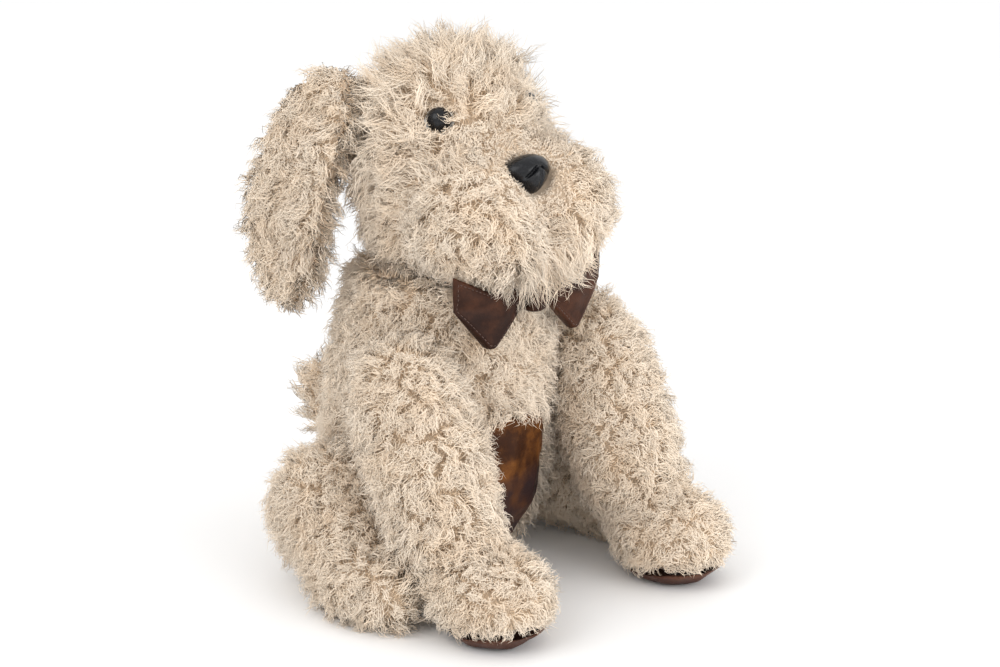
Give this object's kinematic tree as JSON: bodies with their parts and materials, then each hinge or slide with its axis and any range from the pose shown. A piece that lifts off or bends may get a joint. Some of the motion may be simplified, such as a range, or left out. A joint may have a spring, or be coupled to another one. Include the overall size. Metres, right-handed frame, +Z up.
{
  "type": "plush dog",
  "caption": "Sitting plush dog with curly fur, hanging ears, leather soles and belly, and a leather bow tie; head, ears, legs and tail move.",
  "frame": {"origin": "Centre of the bounding box in plan, on the surface the dog sits on.", "axes": "The dog looks along -Y with its tail towards +Y. Its left side is +X. +Z is up. The dog is symmetric about the plane x = 0. Millimetres in the source, metres in the row."},
  "size_m": [0.2208, 0.2506, 0.27],
  "materials": {
    "plush": "long curly pile, cream tips over a tan backing, brushed in locks",
    "stuffing": "soft white fibre filling",
    "bag_cloth": "plain woven cotton",
    "pellets": "loose granules, treated as one mass",
    "washer": "moulded safety washer",
    "gloss_black": "polished black",
    "leather_brown": "dark brown, worn to red-brown at the edges",
    "leather_belly": "mottled tan over dark brown"
  },
  "bodies": {
    "torso": {"torso_cover": "plush", "torso_stuffing": "stuffing", "pellet_bag": "bag_cloth", "pellet_fill": "pellets", "belly_panel": "leather_belly", "base_panel": "leather_brown", "bow_knot": "leather_brown", "bow_wing_left": "leather_brown", "bow_wing_right": "leather_brown"},
    "neck": {"neck_stuffing": "stuffing"},
    "head": {"head_cover": "plush", "head_stuffing": "stuffing", "nose": "gloss_black", "nose_washer": "washer", "eye_left": "gloss_black", "eye_washer_left": "washer", "eye_right": "gloss_black", "eye_washer_right": "washer"},
    "ear_left": {"ear_left_outer": "plush", "ear_left_lining": "plush"},
    "ear_right": {"ear_right_outer": "plush", "ear_right_lining": "plush"},
    "front_leg_left": {"front_leg_left_cover": "plush", "front_leg_left_stuffing": "stuffing", "front_leg_left_sole": "leather_brown"},
    "front_leg_right": {"front_leg_right_cover": "plush", "front_leg_right_stuffing": "stuffing", "front_leg_right_sole": "leather_brown"},
    "hind_leg_left": {"hind_leg_left_cover": "plush", "hind_leg_left_stuffing": "stuffing"},
    "hind_leg_right": {"hind_leg_right_cover": "plush", "hind_leg_right_stuffing": "stuffing"},
    "tail": {"tail_cover": "plush", "tail_stuffing": "stuffing"}
  },
  "joints": [
    {"name": "head_turn", "type": "hinge", "parent": "torso", "child": "neck", "pos_m": [0, 0.00683, 0.221], "axis": [0, 0, 1], "range_deg": [-15, 15], "stiffness_Nm_per_rad": 0.35},
    {"name": "head_lift", "type": "hinge", "parent": "neck", "child": "head", "pos_m": [0, 0.00683, 0.221], "axis": [-1, 0, 0], "range_deg": [0, 12], "stiffness_Nm_per_rad": 0.6},
    {"name": "ear_left_lift", "type": "hinge", "parent": "head", "child": "ear_left", "pos_m": [0.0408, 0.02987, 0.25364], "axis": [0, -1, 0], "range_deg": [0, 110]},
    {"name": "ear_right_lift", "type": "hinge", "parent": "head", "child": "ear_right", "pos_m": [-0.0408, 0.02987, 0.25364], "axis": [0, 1, 0], "range_deg": [0, 110]},
    {"name": "front_leg_left_swing", "type": "hinge", "parent": "torso", "child": "front_leg_left", "pos_m": [0.062, -0.02717, 0.114], "axis": [-1, 0, 0], "range_deg": [0, 35], "stiffness_Nm_per_rad": 0.35},
    {"name": "front_leg_right_swing", "type": "hinge", "parent": "torso", "child": "front_leg_right", "pos_m": [-0.062, -0.02717, 0.114], "axis": [-1, 0, 0], "range_deg": [0, 35], "stiffness_Nm_per_rad": 0.35},
    {"name": "hind_leg_left_splay", "type": "hinge", "parent": "torso", "child": "hind_leg_left", "pos_m": [0.0546, 0.04803, 0.039], "axis": [0, 0, 1], "range_deg": [0, 18], "stiffness_Nm_per_rad": 0.3},
    {"name": "hind_leg_right_splay", "type": "hinge", "parent": "torso", "child": "hind_leg_right", "pos_m": [-0.0546, 0.04803, 0.039], "axis": [0, 0, -1], "range_deg": [0, 18], "stiffness_Nm_per_rad": 0.3},
    {"name": "tail_wag", "type": "hinge", "parent": "torso", "child": "tail", "pos_m": [0, 0.08458, 0.05], "axis": [0, 0, 1], "range_deg": [-25, 25], "stiffness_Nm_per_rad": 0.03}
  ]
}
